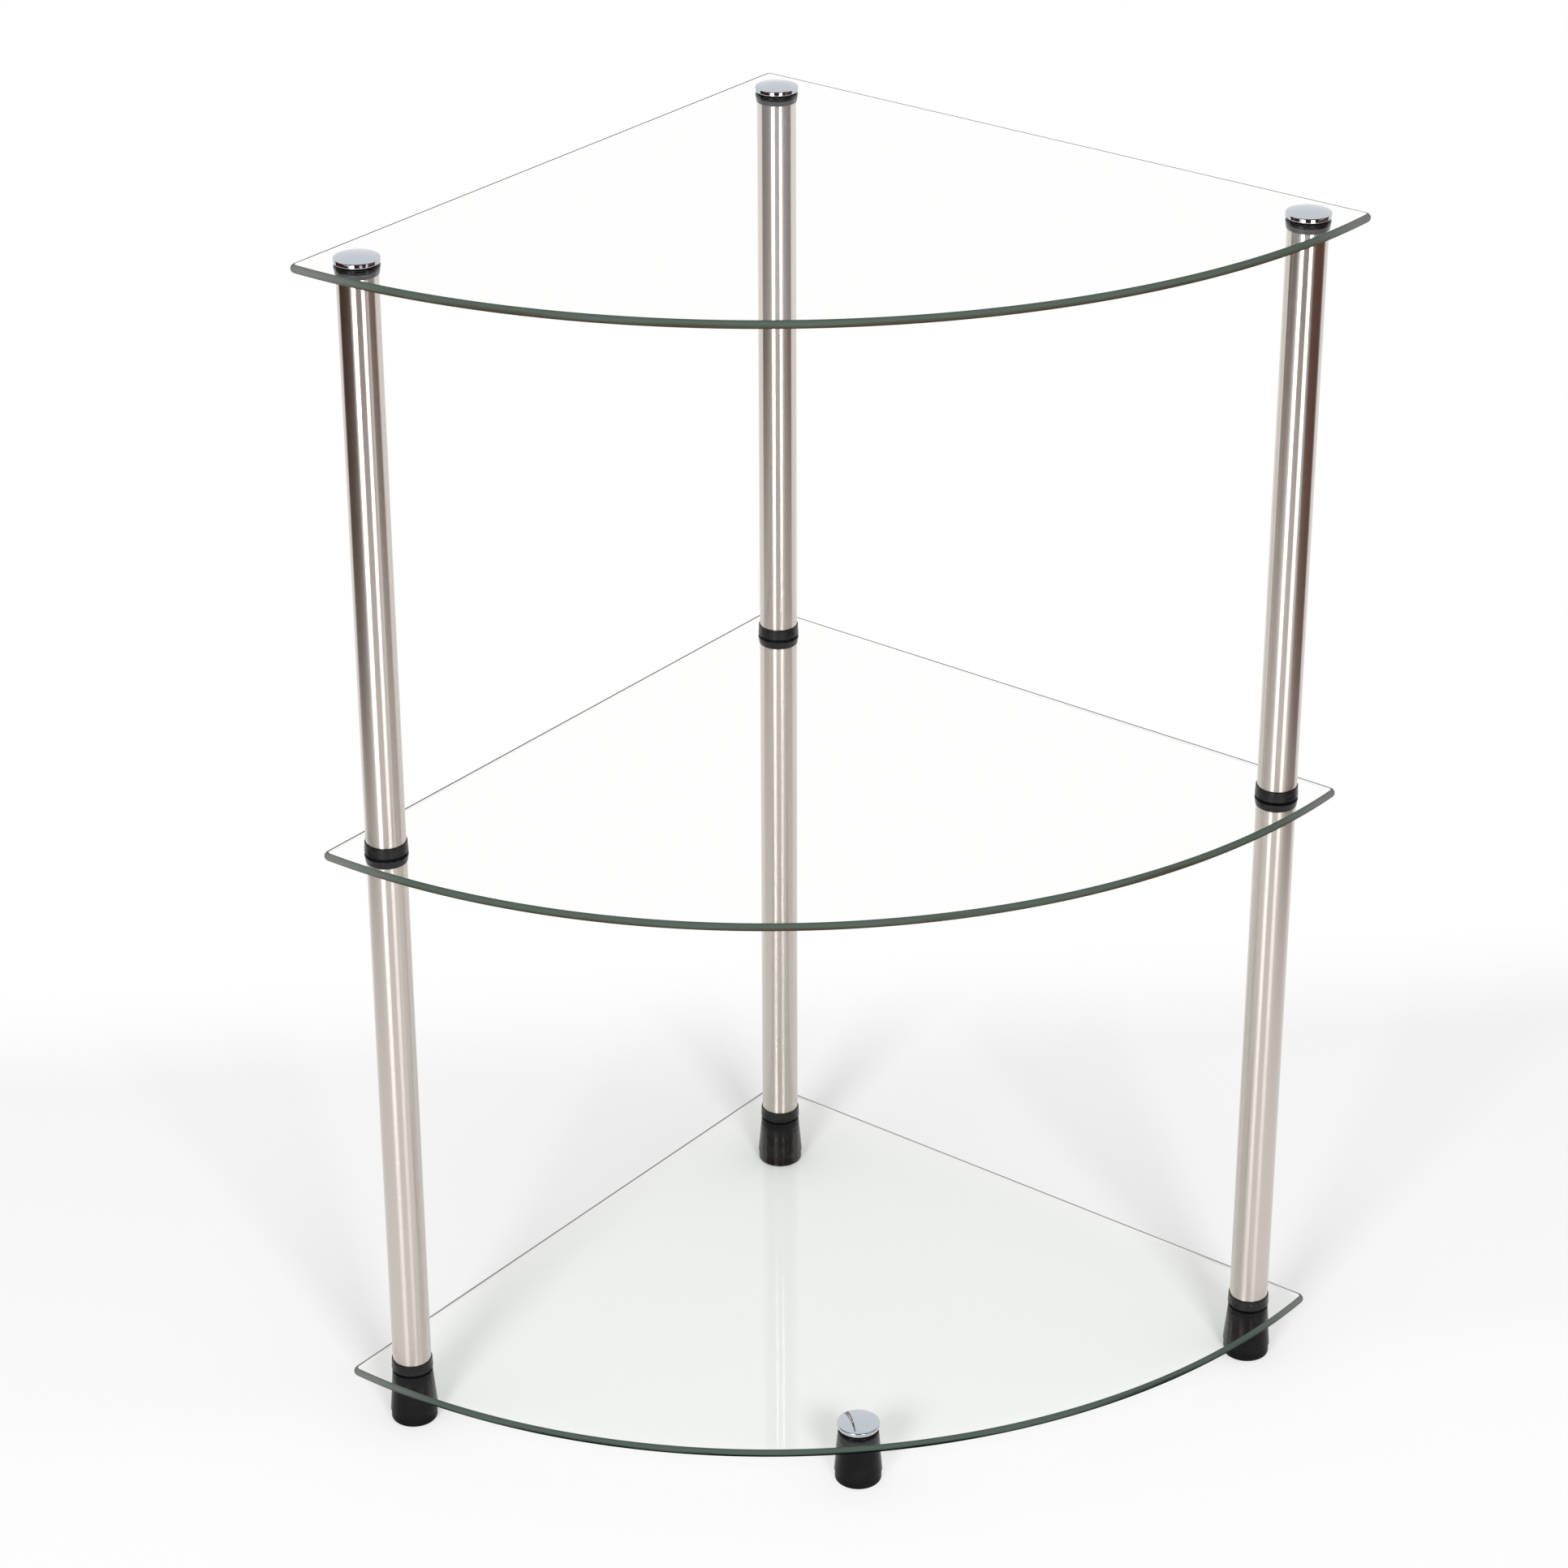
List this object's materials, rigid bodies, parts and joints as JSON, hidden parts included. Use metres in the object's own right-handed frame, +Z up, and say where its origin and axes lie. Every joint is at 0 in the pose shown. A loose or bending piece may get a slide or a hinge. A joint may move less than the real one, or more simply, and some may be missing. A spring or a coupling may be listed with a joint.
{
  "type": "glass corner shelf",
  "caption": "Free-standing corner shelf: quarter-round clear glass shelves on brushed steel tube posts with black collars, chrome caps and black tapered feet.",
  "frame": {"origin": "middle of the outline seen from above, on the floor under the feet", "axes": "+Z up, -Y towards the rounded front, +Y towards the square rear corner, +X to the right seen from the front"},
  "size_m": [0.6322, 0.4488, 0.8043],
  "materials": {
    "clear_glass": "polished, clear with a green edge",
    "brushed_steel": "brushed around the tube",
    "black_plastic": "satin moulded",
    "black_rubber": "dull",
    "chrome": "polished",
    "zinc_steel": "bright zinc",
    "brass": "turned"
  },
  "bodies": {
    "root": {"bottom_glass_shelf": "clear_glass", "middle_glass_shelf": "clear_glass", "top_glass_shelf": "clear_glass", "rear_lower_tube": "brushed_steel", "rear_lower_tube_base_collar": "black_plastic", "rear_lower_tube_head_collar": "black_plastic", "rear_upper_tube": "brushed_steel", "rear_upper_tube_base_collar": "black_plastic", "rear_upper_tube_head_collar": "black_plastic", "rear_joining_stud": "zinc_steel", "rear_foot_stud": "zinc_steel", "left_lower_tube": "brushed_steel", "left_lower_tube_base_collar": "black_plastic", "left_lower_tube_head_collar": "black_plastic", "left_upper_tube": "brushed_steel", "left_upper_tube_base_collar": "black_plastic", "left_upper_tube_head_collar": "black_plastic", "left_joining_stud": "zinc_steel", "left_foot_stud": "zinc_steel", "right_lower_tube": "brushed_steel", "right_lower_tube_base_collar": "black_plastic", "right_lower_tube_head_collar": "black_plastic", "right_upper_tube": "brushed_steel", "right_upper_tube_base_collar": "black_plastic", "right_upper_tube_head_collar": "black_plastic", "right_joining_stud": "zinc_steel", "right_foot_stud": "zinc_steel", "rear_cap": "chrome", "rear_cap_washer": "black_rubber", "rear_foot": "black_plastic", "rear_foot_pad": "black_rubber", "left_cap": "chrome", "left_cap_washer": "black_rubber", "left_foot": "black_plastic", "left_foot_pad": "black_rubber", "right_cap": "chrome", "right_cap_washer": "black_rubber", "right_foot": "black_plastic", "right_foot_pad": "black_rubber", "front_cap": "chrome", "front_cap_washer": "black_rubber", "front_foot": "black_plastic", "front_foot_pad": "black_rubber", "tube_threaded_inserts": "brass", "foot_threaded_inserts": "brass"}
  },
  "joints": []
}
